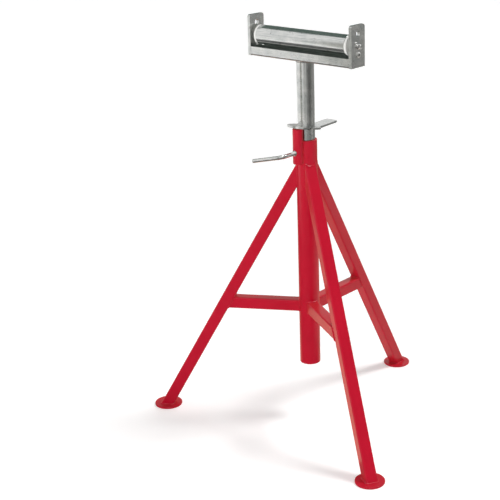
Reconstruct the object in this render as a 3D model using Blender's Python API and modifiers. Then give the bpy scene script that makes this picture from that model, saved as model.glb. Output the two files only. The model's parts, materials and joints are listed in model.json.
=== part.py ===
# Roller stand: a welded three-legged base, a post that slides in it and is held by a tilting lock plate,
# and a roller on ball bearings. Sizes are in metres. The stand rests on Z = 0, the roller lies along X,
# and the clamp handle is on the -Y side.

import math

import bmesh
import bpy

# Fits
GAP = 0.0003                    # between pieces that touch, or that are welded together
MERGE = 0.00001                 # points closer than this are one point

# Facets
ROUND_STEPS = 48                # round a tube
SMALL_STEPS = 32                # round a small turned piece
RACE_STEPS = 24                 # round a bearing
BALL_STEPS = 8                  # round a ball
BALL_RINGS = 6                  # from pole to pole of a ball
CORNER_STEPS = 4                # round a quarter circle
EYE_STEPS = 10                  # round the eye of a split pin
ROD_RESOLUTION = 4              # round the clamp handle's bar
WIRE_RESOLUTION = 2             # round a split pin's wire
SHARP_ANGLE = math.radians(35)  # edges sharper than this aren't shaded smooth

# Post, its end plug and the column that it slides in
POST_OD = 0.0413
POST_WALL = 0.0030
POST_LENGTH = 0.609
POST_PLAY = 0.00155             # between the post and the column's bore, all round
PLUG_SKIRT = 0.014              # length of the part that slides in the column
PLUG_SPIGOT = 0.026             # length of the part inside the post
PLUG_BORE = 0.016
COLUMN_WALL = 0.0032
COLUMN_BOTTOM = 0.144           # height of the lower end
COLUMN_LENGTH = 0.576

# Legs, braces and feet
SQUARE_SIZE = 0.0286            # square tube of the legs and braces
SQUARE_WALL = 0.0020
SQUARE_CORNER = 0.0030          # outer corner radius
SQUARE_BORE_CORNER = 0.0010     # inner corner radius
LEG_DROP = 0.091                # from the column's rim to where a leg's centre line meets the column
FOOT_CIRCLE = 0.376             # from the column's axis to the middle of a foot
FOOT_DIAMETER = 0.070
FOOT_THICKNESS = 0.0048
FOOT_CHAMFER = 0.0006
BRACE_HEIGHT = 0.296            # centre line of the braces

# Boss beside the column: it carries the clamp screw, and the lock plate tilts on its top
BOSS_DIAMETER = 0.025
BOSS_STANDOFF = 0.0068          # from the column's surface to the boss's axis
BOSS_RISE = 0.031               # above the column's rim
BOSS_TAIL = 0.0285              # below the clamp screw
BOSS_ROUND = 0.003              # rounding of its lower end
CLAMP_DROP = 0.0265             # clamp screw below the column's rim

# Head: channel and end plates
HEAD_RISE = 0.1885              # from the column's rim to the underside of the channel
CHANNEL_LENGTH = 0.294
CHANNEL_WIDTH = 0.050
CHANNEL_HEIGHT = 0.022
CHANNEL_WALL = 0.003
CHANNEL_BEND = 0.0025           # inner bend radius
PLATE_THICKNESS = 0.008
PLATE_CORNER = 0.006
AXLE_RISE = 0.048               # axle above the foot of the end plates
SPARE_HOLE = 0.014
SPARE_BELOW = 0.019             # lower spare hole, below the axle
SPARE_ABOVE = 0.029             # upper spare hole, above the axle
PLATE_EDGE = 0.020              # from the upper spare hole to the top of the plate

# Axle and split pins
AXLE_DIAMETER = 0.012
AXLE_OVERHANG = 0.005           # beyond each end plate
AXLE_CHAMFER = 0.0016
PIN_WIRE = 0.0024
PIN_EYE = 0.0030                # radius of the eye, at the middle of the wire
PIN_SHANK = 0.0032              # from the axle's surface to the eye
PIN_TAIL = 0.0035               # straight beyond the axle, and again past the bend
PIN_SPREAD = math.radians(35)   # how far the end is bent over
PIN_TURN = math.radians(38)     # the eye stands this much above level, in front of the axle

# Roller
ROLLER_DIAMETER = 0.0483
ROLLER_WALL = 0.0020
ROLLER_SPACE = 0.0089           # from the nose of an end cap to the end plate
CAP_SPIGOT = 0.018              # length inside the shell
CAP_INSET = 0.00065             # the cap's flange is this much smaller than the shell, all round
CAP_FLANGE = 0.0058             # length of the full-width flange
CAP_LENGTH = 0.0069             # how far the cap stands out of the shell
CAP_NOSE_DIAMETER = 0.0260

# Ball bearings
INNER_RACE_WALL = 0.0022
RACE_SPACE = 0.0030             # between the two races
OUTER_RACE_WALL = 0.0025
RACE_WIDTH = 0.008
RACE_DEPTH = 0.0045             # from the end of the shell to the bearing's outer side
SLEEVE_WALL = 0.0016            # inner race's sleeve, which reaches to the end plate
BALL_DIAMETER = 0.0045
BALL_COUNT = 8
CAGE_WALL = 0.0012
CAGE_WIDTH = 0.0016

# Lock plate
LOCK_THICKNESS = 0.005
LOCK_PLAY = 0.0011              # round the post, when the plate lies flat
LOCK_MARGIN = 0.0135            # beside its hole
LOCK_STRAIGHT = 0.0170          # length of its straight sides
TONGUE_WIDTH = 0.034
TONGUE_LENGTH = 0.0694          # from the plate's rear edge
TONGUE_CORNER = 0.005
TONGUE_RISE = math.radians(12)  # the tongue is bent up out of the plate

# Clamp handle
CLAMP_ROD = 0.010
CLAMP_STEM = 0.0442             # from the boss to the middle of the arm's bar
CLAMP_ARM = 0.0952              # from the screw's axis to the end of the arm
CLAMP_BEND = 0.013              # bend radius at the middle of the bar
CLAMP_DROOP = math.radians(14.4)    # the arm hangs below level

# Column, post and boss, worked out from the sizes above
POST_R = POST_OD / 2
POST_BORE_R = POST_R - POST_WALL
COLUMN_BORE_R = POST_R + POST_PLAY
COLUMN_R = COLUMN_BORE_R + COLUMN_WALL
COLUMN_TOP = COLUMN_BOTTOM + COLUMN_LENGTH
COPE_R = COLUMN_R + GAP
BOSS_R = BOSS_DIAMETER / 2
BOSS_REACH = COLUMN_R + BOSS_STANDOFF
BOSS_TOP = COLUMN_TOP + BOSS_RISE
CLAMP_HEIGHT = COLUMN_TOP - CLAMP_DROP
CLAMP_HOLE_R = CLAMP_ROD / 2 + GAP
HEAD_HEIGHT = COLUMN_TOP + HEAD_RISE
POST_TOP = HEAD_HEIGHT - GAP
POST_BOTTOM = POST_TOP - POST_LENGTH

# Legs
FOOT_TOP = FOOT_THICKNESS + GAP
LEG_HEIGHT = COLUMN_TOP - LEG_DROP - FOOT_TOP
LEG_LEAN = math.atan2(FOOT_CIRCLE - COLUMN_R, LEG_HEIGHT)

# Head and roller
AXLE_HEIGHT = HEAD_HEIGHT + AXLE_RISE
AXLE_R = AXLE_DIAMETER / 2
PLATE_HEIGHT = AXLE_RISE + SPARE_ABOVE + PLATE_EDGE
PLATE_X = CHANNEL_LENGTH / 2 + GAP          # inner face of an end plate
PLATE_OUTER_X = PLATE_X + PLATE_THICKNESS
PIN_X = PLATE_OUTER_X + GAP + PIN_WIRE / 2
SHELL_R = ROLLER_DIAMETER / 2
SHELL_BORE_R = SHELL_R - ROLLER_WALL
SHELL_END = PLATE_X - ROLLER_SPACE - CAP_LENGTH

# Bearings
INNER_BORE_R = AXLE_R + GAP
SLEEVE_R = INNER_BORE_R + SLEEVE_WALL
INNER_RACE_R = INNER_BORE_R + INNER_RACE_WALL
OUTER_BORE_R = INNER_RACE_R + RACE_SPACE
PITCH_R = INNER_RACE_R + RACE_SPACE / 2
RACE_R = OUTER_BORE_R + OUTER_RACE_WALL
GROOVE_R = BALL_DIAMETER / 2 + GAP
RACE_TOP = -RACE_DEPTH
RACE_MIDDLE = RACE_TOP - RACE_WIDTH / 2
RACE_BOTTOM = RACE_TOP - RACE_WIDTH

# The lock plate tips until its hole meets the post on both sides.
LOCK_HOLE_R = POST_R + LOCK_PLAY
LOCK_R = LOCK_HOLE_R + LOCK_MARGIN
LOCK_DIAGONAL = math.hypot(2 * LOCK_HOLE_R, LOCK_THICKNESS)
LOCK_TILT = math.acos(2 * (POST_R + GAP) / LOCK_DIAGONAL) - math.atan2(LOCK_THICKNESS, 2 * LOCK_HOLE_R)

# It tips on the edge of the boss that is nearest to the post.
FULCRUM_Y = -(BOSS_REACH**2 + COPE_R**2 - BOSS_R**2) / (2 * BOSS_REACH)
FULCRUM_Z = BOSS_TOP + GAP
LOCK_HOLE_Y = (-FULCRUM_Y - LOCK_THICKNESS / 2 * math.sin(LOCK_TILT)) / math.cos(LOCK_TILT)

# The frame's origin is under the middle of the feet's outline, so the column's axis is off it in Y.
AXIS_Y = -FOOT_CIRCLE / 4
ARMS = {"front_left": math.radians(210), "front_right": math.radians(330), "rear": math.radians(90)}
SIDES = {"left": -1, "right": 1}


def clear_scene():
    for old in list(bpy.data.objects):
        bpy.data.objects.remove(old, do_unlink=True)


def new_collection(name):
    collection = bpy.data.collections.new(name)
    bpy.context.scene.collection.children.link(collection)
    return collection


def new_material(name, colour, roughness, metallic):
    material = bpy.data.materials.new(name)
    material.use_nodes = True
    shader = material.node_tree.nodes["Principled BSDF"]
    shader.inputs["Base Color"].default_value = (*colour, 1.0)
    shader.inputs["Roughness"].default_value = roughness
    shader.inputs["Metallic"].default_value = metallic
    material.diffuse_color = (*colour, 1.0)
    return material


def new_empty(name, location, turn=0.0, parent=None):
    empty = bpy.data.objects.new(name, None)
    empty.location = location
    empty.rotation_euler = (0, 0, turn)
    empty.parent = parent
    PARTS.objects.link(empty)
    return empty


def add_part(name, mesh, material, parent, location=(0, 0, 0), rotation=(0, 0, 0)):
    mesh.materials.append(material)
    obj = bpy.data.objects.new(name, mesh)
    obj.parent = parent
    obj.location = location
    obj.rotation_euler = rotation
    PARTS.objects.link(obj)
    return obj


def add_cutter(name, mesh, parent, location=(0, 0, 0), rotation=(0, 0, 0)):
    cutter = bpy.data.objects.new(name, mesh)
    cutter.parent = parent
    cutter.location = location
    cutter.rotation_euler = rotation
    cutter.hide_render = True
    cutter.display_type = "WIRE"
    CUTTERS.objects.link(cutter)
    return cutter


def combine(obj, tool, operation="DIFFERENCE"):
    boolean = obj.modifiers.new(tool.name, "BOOLEAN")
    boolean.operation = operation
    boolean.object = tool


def turn_profile(obj, steps):
    # The profile runs down its outer side, so the turned faces point outwards.
    screw = obj.modifiers.new("Turn", "SCREW")
    screw.angle = math.tau
    screw.steps = steps
    screw.render_steps = steps
    screw.use_merge_vertices = True
    screw.merge_threshold = MERGE


def profile_mesh(name, outline):
    # The outline is radius and height. It closes on itself unless it starts on the axis.
    mesh = bpy.data.meshes.new(name)
    points = [(radius, 0, height) for radius, height in outline]
    edges = [(i, i + 1) for i in range(len(points) - 1)]
    if outline[0][0] > 0:
        edges.append((len(points) - 1, 0))
    mesh.from_pydata(points, edges, [])
    return mesh


def add_turned(name, outline, material, parent, steps, location=(0, 0, 0), rotation=(0, 0, 0)):
    obj = add_part(name, profile_mesh(name, outline), material, parent, location, rotation)
    turn_profile(obj, steps)
    return obj


def tube_outline(outer, inner, bottom, top):
    return [(outer, top), (outer, bottom), (inner, bottom), (inner, top)]


def cylinder_mesh(name, radius, bottom, top, steps):
    bm = bmesh.new()
    depth = top - bottom
    bmesh.ops.create_cone(bm, cap_ends=True, segments=steps, radius1=radius, radius2=radius, depth=depth)
    bmesh.ops.translate(bm, verts=bm.verts, vec=(0, 0, bottom + depth / 2))
    mesh = bpy.data.meshes.new(name)
    bm.to_mesh(mesh)
    bm.free()
    return mesh


def box_mesh(name, low, high):
    bm = bmesh.new()
    bmesh.ops.create_cube(bm, size=1)
    bmesh.ops.scale(bm, verts=bm.verts, vec=[b - a for a, b in zip(low, high)])
    bmesh.ops.translate(bm, verts=bm.verts, vec=[(a + b) / 2 for a, b in zip(low, high)])
    mesh = bpy.data.meshes.new(name)
    bm.to_mesh(mesh)
    bm.free()
    return mesh


def arc(centre, radius, start, end, steps):
    angles = [start + (end - start) * i / steps for i in range(steps + 1)]
    return [(centre[0] + radius * math.cos(a), centre[1] + radius * math.sin(a)) for a in angles]


def circle(centre, radius, steps):
    return arc(centre, radius, 0, math.tau, steps)[:-1]


def rounded_rectangle(width, height, radius):
    points = []
    for quarter, (sx, sy) in enumerate([(1, 1), (-1, 1), (-1, -1), (1, -1)]):
        centre = (sx * (width / 2 - radius), sy * (height / 2 - radius))
        start = quarter * math.pi / 2
        points += arc(centre, radius, start, start + math.pi / 2, CORNER_STEPS)
    return points


def mesh_from_curve(name, curve):
    holder = bpy.data.objects.new(name, curve)
    PARTS.objects.link(holder)
    evaluated = holder.evaluated_get(bpy.context.evaluated_depsgraph_get())
    mesh = bpy.data.meshes.new_from_object(evaluated)
    mesh.name = name
    bpy.data.objects.remove(holder)
    bm = bmesh.new()
    bm.from_mesh(mesh)
    bmesh.ops.remove_doubles(bm, verts=bm.verts, dist=MERGE)
    bmesh.ops.recalc_face_normals(bm, faces=bm.faces)
    bm.to_mesh(mesh)
    bm.free()
    return mesh


def flat_mesh(name, loops, thickness):
    # The first loop is the outline, the others are holes. The sheet is centred on Z = 0.
    curve = bpy.data.curves.new(name, "CURVE")
    curve.dimensions = "2D"
    curve.fill_mode = "BOTH"
    curve.extrude = thickness / 2
    for loop in loops:
        spline = curve.splines.new("POLY")
        spline.points.add(len(loop) - 1)
        for point, (x, y) in zip(spline.points, loop):
            point.co = (x, y, 0, 1)
        spline.use_cyclic_u = True
    return mesh_from_curve(name, curve)


def rod_mesh(name, path, diameter, resolution):
    curve = bpy.data.curves.new(name, "CURVE")
    curve.dimensions = "3D"
    curve.bevel_depth = diameter / 2
    curve.bevel_resolution = resolution
    curve.use_fill_caps = True
    spline = curve.splines.new("POLY")
    spline.points.add(len(path) - 1)
    for point, place in zip(spline.points, path):
        point.co = (*place, 1)
    return mesh_from_curve(name, curve)


def shade_round(obj):
    obj.data.shade_smooth()
    obj.data.set_sharp_from_angle(angle=SHARP_ANGLE)


def square_tube_mesh(name, length):
    bore = SQUARE_SIZE - 2 * SQUARE_WALL
    outer = rounded_rectangle(SQUARE_SIZE, SQUARE_SIZE, SQUARE_CORNER)
    inner = rounded_rectangle(bore, bore, SQUARE_BORE_CORNER)
    return flat_mesh(name, [outer, inner], length)


def build_column(stand):
    outline = tube_outline(COLUMN_R, COLUMN_BORE_R, COLUMN_BOTTOM, COLUMN_TOP)
    column = add_turned("column_tube", outline, RED_PAINT, stand, ROUND_STEPS)
    combine(column, CLAMP_CUTTER)


def build_boss(stand):
    low = CLAMP_HEIGHT - BOSS_TAIL
    rounding = arc((BOSS_R - BOSS_ROUND, low + BOSS_ROUND), BOSS_ROUND, 0, -math.pi / 2, CORNER_STEPS)
    outline = [(0, BOSS_TOP), (BOSS_R, BOSS_TOP), *rounding, (0, low)]
    boss = add_turned("fulcrum_boss", outline, RED_PAINT, stand, SMALL_STEPS, (0, -BOSS_REACH, 0))
    combine(boss, COLUMN_CUTTER)
    combine(boss, CLAMP_CUTTER)


def build_leg(name, arm):
    reach = COLUMN_R / math.sin(LEG_LEAN)       # on past the column's surface to its axis
    spare = SQUARE_SIZE                         # on past the foot plate, where it is cut level
    length = (FOOT_CIRCLE - COLUMN_R) / math.sin(LEG_LEAN) + reach + spare
    middle = length / 2 - spare
    x = FOOT_CIRCLE - middle * math.sin(LEG_LEAN)
    z = FOOT_TOP + middle * math.cos(LEG_LEAN)
    mesh = square_tube_mesh("leg_" + name, length)
    leg = add_part("leg_" + name, mesh, RED_PAINT, arm, (x, 0, z), (0, -LEG_LEAN, 0))
    combine(leg, COLUMN_CUTTER)
    combine(leg, FLOOR_CUTTER)


def build_brace(name, arm):
    end = FOOT_CIRCLE - (BRACE_HEIGHT - FOOT_TOP) * math.tan(LEG_LEAN)      # on the leg's centre line
    mesh = square_tube_mesh("brace_" + name, end)
    lie = (0, math.pi / 2, 0)
    brace = add_part("brace_" + name, mesh, RED_PAINT, arm, (end / 2, 0, BRACE_HEIGHT), lie)
    inner_face = SQUARE_SIZE / 2 + GAP
    low = (-inner_face, -SQUARE_SIZE, -2 * SQUARE_SIZE)
    high = (2 * SQUARE_SIZE, SQUARE_SIZE, 2 * SQUARE_SIZE)
    leg_side = add_cutter("leg_side_" + name, box_mesh("leg_side_" + name, low, high), arm,
                          (end, 0, BRACE_HEIGHT), (0, -LEG_LEAN, 0))
    combine(brace, COLUMN_CUTTER)
    combine(brace, leg_side)


def build_foot(name, arm):
    radius = FOOT_DIAMETER / 2
    outline = [(0, FOOT_THICKNESS), (radius - FOOT_CHAMFER, FOOT_THICKNESS),
               (radius, FOOT_THICKNESS - FOOT_CHAMFER), (radius, 0), (0, 0)]
    add_turned("foot_disc_" + name, outline, RED_PAINT, arm, ROUND_STEPS, (FOOT_CIRCLE, 0, 0))


def build_post(lift):
    outline = tube_outline(POST_R, POST_BORE_R, POST_BOTTOM, POST_TOP)
    add_turned("post_tube", outline, ZINC, lift, ROUND_STEPS)


def build_end_plug(lift):
    seat = POST_BOTTOM - GAP
    skirt = COLUMN_BORE_R - GAP
    spigot = POST_BORE_R - GAP
    bore = PLUG_BORE / 2
    outline = [(spigot, seat + PLUG_SPIGOT), (spigot, seat), (skirt, seat), (skirt, seat - PLUG_SKIRT),
               (bore, seat - PLUG_SKIRT), (bore, seat + PLUG_SPIGOT)]
    add_turned("post_end_plug", outline, BLACK_PLASTIC, lift, SMALL_STEPS)


def build_channel(lift):
    half = CHANNEL_WIDTH / 2
    outer = CHANNEL_BEND + CHANNEL_WALL
    quarter = math.pi / 2
    outside = arc((-half + outer, outer), outer, 2 * quarter, 3 * quarter, CORNER_STEPS)
    outside += arc((half - outer, outer), outer, 3 * quarter, 4 * quarter, CORNER_STEPS)
    inside = arc((half - outer, outer), CHANNEL_BEND, 4 * quarter, 3 * quarter, CORNER_STEPS)
    inside += arc((-half + outer, outer), CHANNEL_BEND, 3 * quarter, 2 * quarter, CORNER_STEPS)
    flange_tops = [(half, CHANNEL_HEIGHT), (half - CHANNEL_WALL, CHANNEL_HEIGHT)]
    far_tops = [(CHANNEL_WALL - half, CHANNEL_HEIGHT), (-half, CHANNEL_HEIGHT)]
    mesh = flat_mesh("head_channel", [outside + flange_tops + inside + far_tops], CHANNEL_LENGTH)
    add_part("head_channel", mesh, ZINC, lift, (0, 0, HEAD_HEIGHT), (quarter, 0, quarter))


def build_end_plate(side, direction, lift):
    # The outline is in Y and Z, from the foot of the plate.
    outline = [(-CHANNEL_WIDTH / 2, 0), (CHANNEL_WIDTH / 2, 0)]
    corner = (CHANNEL_WIDTH / 2 - PLATE_CORNER, PLATE_HEIGHT - PLATE_CORNER)
    outline += arc(corner, PLATE_CORNER, 0, math.pi / 2, CORNER_STEPS)
    outline += arc((-corner[0], corner[1]), PLATE_CORNER, math.pi / 2, math.pi, CORNER_STEPS)
    holes = [circle((0, AXLE_RISE), AXLE_R + GAP, SMALL_STEPS)]
    for height in (AXLE_RISE - SPARE_BELOW, AXLE_RISE + SPARE_ABOVE):
        holes.append(circle((0, height), SPARE_HOLE / 2, SMALL_STEPS))
    mesh = flat_mesh("end_plate_" + side, [outline, *holes], PLATE_THICKNESS)
    x = direction * (PLATE_X + PLATE_THICKNESS / 2)
    add_part("end_plate_" + side, mesh, ZINC, lift, (x, 0, HEAD_HEIGHT), (math.pi / 2, 0, math.pi / 2))


def build_axle(spindle):
    end = PLATE_OUTER_X + AXLE_OVERHANG
    outline = [(0, end), (AXLE_R - AXLE_CHAMFER, end), (AXLE_R, end - AXLE_CHAMFER),
               (AXLE_R, AXLE_CHAMFER - end), (AXLE_R - AXLE_CHAMFER, -end), (0, -end)]
    axle = add_turned("axle", outline, STEEL, spindle, SMALL_STEPS, (0, 0, 0), (0, math.pi / 2, 0))
    hole_radius = PIN_WIRE / 2 + GAP
    for side, direction in SIDES.items():
        name = "pin_hole_" + side
        mesh = cylinder_mesh(name, hole_radius, -AXLE_DIAMETER, AXLE_DIAMETER, SMALL_STEPS)
        turn = (math.pi / 2 - PIN_TURN, 0, 0)
        combine(axle, add_cutter(name, mesh, spindle, (direction * PIN_X, 0, 0), turn))


def build_split_pin(side, direction, spindle):
    # The shank is drawn along Y and then turned about the axle. The eye is in front, the tail is bent over.
    bend_y = AXLE_R + PIN_TAIL
    tail = (bend_y + PIN_TAIL * math.cos(PIN_SPREAD), -PIN_TAIL * math.sin(PIN_SPREAD))
    eye_y = -(AXLE_R + PIN_SHANK + PIN_EYE)
    eye = arc((eye_y, PIN_EYE), PIN_EYE, -math.pi / 2, -math.tau, EYE_STEPS)
    path = [(0, y, z) for y, z in [tail, (bend_y, 0), *eye]]
    mesh = rod_mesh("split_pin_" + side, path, PIN_WIRE, WIRE_RESOLUTION)
    add_part("split_pin_" + side, mesh, STEEL, spindle, (direction * PIN_X, 0, 0), (-PIN_TURN, 0, 0))


def build_shell(spindle):
    outline = tube_outline(SHELL_R, SHELL_BORE_R, -SHELL_END, SHELL_END)
    add_turned("roller_shell", outline, ZINC, spindle, ROUND_STEPS, (0, 0, 0), (0, math.pi / 2, 0))


def groove(outward):
    # The ball's groove in a race, in the outer one if outward is 1 and in the inner one if it is -1.
    half = math.acos(RACE_SPACE / 2 / GROOVE_R)
    points = arc((0, 0), GROOVE_R, half, -half, CORNER_STEPS)
    return [(PITCH_R + outward * across, RACE_MIDDLE + along) for across, along in points]


def build_end_cap(side, spindle, place, lie):
    spigot = SHELL_BORE_R - GAP
    seat = RACE_R + GAP
    shoulder = RACE_TOP + GAP
    sleeve_hole = SLEEVE_R + GAP
    flange = SHELL_R - CAP_INSET
    outline = [(CAP_NOSE_DIAMETER / 2, CAP_LENGTH), (flange, GAP + CAP_FLANGE), (flange, GAP), (spigot, GAP),
               (spigot, -CAP_SPIGOT), (seat, -CAP_SPIGOT), (seat, shoulder), (sleeve_hole, shoulder),
               (sleeve_hole, CAP_LENGTH)]
    add_turned("end_cap_" + side, outline, WHITE_PLASTIC, spindle, SMALL_STEPS, place, lie)


def build_races(side, spindle, place, lie):
    outer = [(RACE_R, RACE_TOP), (RACE_R, RACE_BOTTOM), (OUTER_BORE_R, RACE_BOTTOM),
             *reversed(groove(1)), (OUTER_BORE_R, RACE_TOP)]
    add_turned("outer_race_" + side, outer, STEEL, spindle, RACE_STEPS, place, lie)
    sleeve_end = PLATE_X - SHELL_END - GAP
    inner = [(SLEEVE_R, sleeve_end), (SLEEVE_R, RACE_TOP), (INNER_RACE_R, RACE_TOP), *groove(-1),
             (INNER_RACE_R, RACE_BOTTOM), (INNER_BORE_R, RACE_BOTTOM), (INNER_BORE_R, sleeve_end)]
    add_turned("inner_race_" + side, inner, STEEL, spindle, RACE_STEPS, place, lie)


def build_ball_cage(side, spindle, place, lie):
    inner = PITCH_R - CAGE_WALL / 2
    bottom = RACE_MIDDLE - CAGE_WIDTH / 2
    ring = tube_outline(inner + CAGE_WALL, inner, bottom, bottom + CAGE_WIDTH)
    cage = add_turned("ball_cage_" + side, ring, STEEL, spindle, RACE_STEPS, place, lie)
    ball_r = BALL_DIAMETER / 2
    bm = bmesh.new()
    for i in range(BALL_COUNT):
        turn = math.tau * i / BALL_COUNT
        centre = (PITCH_R * math.cos(turn), PITCH_R * math.sin(turn), RACE_MIDDLE)
        ball = bmesh.ops.create_uvsphere(bm, u_segments=BALL_STEPS, v_segments=BALL_RINGS, radius=ball_r)
        bmesh.ops.translate(bm, verts=ball["verts"], vec=centre)
    balls = bpy.data.meshes.new("balls_" + side)
    bm.to_mesh(balls)
    bm.free()
    combine(cage, add_cutter("balls_" + side, balls, spindle, place, lie), "UNION")


def build_roller_end(side, direction, spindle):
    # Each end is turned about its own +Z, which points out of the roller. Z = 0 is the end of the shell.
    place = (direction * SHELL_END, 0, 0)
    lie = (0, direction * math.pi / 2, 0)
    build_end_cap(side, spindle, place, lie)
    build_races(side, spindle, place, lie)
    build_ball_cage(side, spindle, place, lie)


def raised_flat_mesh(name, loops, thickness):
    mesh = flat_mesh(name, loops, thickness)
    for vertex in mesh.vertices:
        vertex.co.z += thickness / 2
    return mesh


def build_lock_plate(stand):
    # The plate's own frame is at the fulcrum: Y runs along the plate to the tongue, Z = 0 is its underside.
    outline = arc((0, LOCK_HOLE_Y), LOCK_R, 0, math.pi, 4 * CORNER_STEPS)
    outline += arc((0, LOCK_HOLE_Y - LOCK_STRAIGHT), LOCK_R, math.pi, math.tau, 4 * CORNER_STEPS)
    hole = circle((0, LOCK_HOLE_Y), LOCK_HOLE_R, ROUND_STEPS)
    mesh = raised_flat_mesh("lock_plate", [outline, hole], LOCK_THICKNESS)
    plate = add_part("lock_plate", mesh, ZINC, stand, (0, FULCRUM_Y, FULCRUM_Z), (-LOCK_TILT, 0, 0))

    # The tongue is rooted halfway between the hole and the plate's rear edge, and is bent up there.
    half = TONGUE_WIDTH / 2
    edge = math.sqrt(LOCK_R**2 - half**2)
    root = (edge - LOCK_HOLE_R) / 2
    corner = (half - TONGUE_CORNER, root + TONGUE_LENGTH - TONGUE_CORNER)
    outline = [(-half, 0), (half, 0)]
    outline += arc(corner, TONGUE_CORNER, 0, math.pi / 2, CORNER_STEPS)
    outline += arc((-corner[0], corner[1]), TONGUE_CORNER, math.pi / 2, math.pi, CORNER_STEPS)
    mesh = raised_flat_mesh("lock_tongue", [outline], LOCK_THICKNESS)
    tongue = add_cutter("lock_tongue", mesh, plate, (0, LOCK_HOLE_Y + edge - root, 0), (TONGUE_RISE, 0, 0))
    combine(plate, tongue, "UNION")


def build_clamp_handle(stand):
    # The bar's own frame is on the screw's axis, at the front of the boss. It runs from the post along -Y.
    face = -(BOSS_REACH + BOSS_R)
    tip = -(POST_R + GAP) - face
    bend = arc((CLAMP_BEND, CLAMP_BEND - CLAMP_STEM), CLAMP_BEND, math.pi, 1.5 * math.pi, 2 * CORNER_STEPS)
    across = -math.cos(CLAMP_DROOP)
    down = -math.sin(CLAMP_DROOP)
    path = [(0, tip), *bend, (CLAMP_ARM, -CLAMP_STEM)]
    path = [(out * across, y, out * down) for out, y in path]
    mesh = rod_mesh("clamp_handle", path, CLAMP_ROD, ROD_RESOLUTION)
    add_part("clamp_handle", mesh, ZINC, stand, (0, face, CLAMP_HEIGHT))


clear_scene()
PARTS = new_collection("roller_stand")
CUTTERS = new_collection("cutters")

RED_PAINT = new_material("red_paint", (0.50, 0.010, 0.028), 0.30, 0.0)
ZINC = new_material("zinc_plated_steel", (0.50, 0.50, 0.49), 0.35, 1.0)
STEEL = new_material("bright_steel", (0.42, 0.42, 0.42), 0.30, 1.0)
WHITE_PLASTIC = new_material("white_plastic", (0.85, 0.85, 0.83), 0.45, 0.0)
BLACK_PLASTIC = new_material("black_plastic", (0.03, 0.03, 0.03), 0.50, 0.0)

STAND = new_empty("stand", (0, AXIS_Y, 0))
column_space = cylinder_mesh("column_cutter", COPE_R, 0, 2 * COLUMN_TOP, ROUND_STEPS)
COLUMN_CUTTER = add_cutter("column_cutter", column_space, STAND)
screw_hole = cylinder_mesh("clamp_cutter", CLAMP_HOLE_R, 0, 2 * BOSS_REACH, SMALL_STEPS)
CLAMP_CUTTER = add_cutter("clamp_cutter", screw_hole, STAND, (0, 0, CLAMP_HEIGHT), (math.pi / 2, 0, 0))
floor_half = FOOT_CIRCLE + FOOT_DIAMETER
floor = box_mesh("floor_cutter", (-floor_half, -floor_half, -floor_half), (floor_half, floor_half, FOOT_TOP))
FLOOR_CUTTER = add_cutter("floor_cutter", floor, STAND)

build_column(STAND)
build_boss(STAND)
for arm_name, turn in ARMS.items():
    arm = new_empty("arm_" + arm_name, (0, 0, 0), turn, STAND)
    build_leg(arm_name, arm)
    build_brace(arm_name, arm)
    build_foot(arm_name, arm)

LIFT = new_empty("post_axis", (0, 0, 0), 0, STAND)
build_end_plug(LIFT)
build_post(LIFT)
build_channel(LIFT)

SPINDLE = new_empty("roller_axis", (0, 0, AXLE_HEIGHT), 0, LIFT)
build_axle(SPINDLE)
build_shell(SPINDLE)
for side_name, sign in SIDES.items():
    build_end_plate(side_name, sign, LIFT)
    build_split_pin(side_name, sign, SPINDLE)
    build_roller_end(side_name, sign, SPINDLE)

build_lock_plate(STAND)
build_clamp_handle(STAND)

for part in PARTS.objects:
    if part.type == "MESH":
        shade_round(part)
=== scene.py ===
import json
import math

import bmesh
import bpy
from mathutils import Matrix, Vector


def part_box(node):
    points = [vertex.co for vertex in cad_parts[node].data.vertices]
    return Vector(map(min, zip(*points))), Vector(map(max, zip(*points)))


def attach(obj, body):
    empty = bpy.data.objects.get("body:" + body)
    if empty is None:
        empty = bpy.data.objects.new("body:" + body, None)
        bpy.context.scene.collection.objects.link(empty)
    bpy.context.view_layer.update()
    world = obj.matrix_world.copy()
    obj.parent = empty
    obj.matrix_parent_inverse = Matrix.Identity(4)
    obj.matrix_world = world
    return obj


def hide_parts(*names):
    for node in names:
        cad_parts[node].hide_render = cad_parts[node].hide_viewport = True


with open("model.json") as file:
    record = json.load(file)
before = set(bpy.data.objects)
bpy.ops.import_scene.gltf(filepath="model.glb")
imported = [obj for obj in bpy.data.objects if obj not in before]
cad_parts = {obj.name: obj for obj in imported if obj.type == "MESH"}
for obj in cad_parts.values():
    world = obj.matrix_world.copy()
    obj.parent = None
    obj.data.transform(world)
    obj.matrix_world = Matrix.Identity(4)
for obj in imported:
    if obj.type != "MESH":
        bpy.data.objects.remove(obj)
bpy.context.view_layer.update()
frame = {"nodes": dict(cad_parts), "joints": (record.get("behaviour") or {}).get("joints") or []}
print("frame loaded:", len(frame["nodes"]), "nodes")

joints = {joint["name"]: joint for joint in frame["joints"]}
fulcrum = Vector(joints["lock_plate_tilt"]["pos_m"])         # where the lock plate tips on the boss
arms = {"front_left": 210, "front_right": 330, "rear": 90}   # degrees round the column, from +X
sides = {"left": -1, "right": 1}                             # along X
tiny = 1e-6                                                  # metres; points closer than this are one
white = (1, 1, 1, 1)


def middle(node):
    low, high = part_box(node)
    return (low + high) / 2


axisY = middle("column_tube").y                              # the column stands off the origin in Y
columnLow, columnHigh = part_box("column_tube")
columnRadius = columnHigh.x
channelLow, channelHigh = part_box("head_channel")
onAxis = Matrix.Translation((0, axisY, 0))


def addObject(name, data):
    thing = bpy.data.objects.new(name, data)
    bpy.context.scene.collection.objects.link(thing)
    return thing


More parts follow.
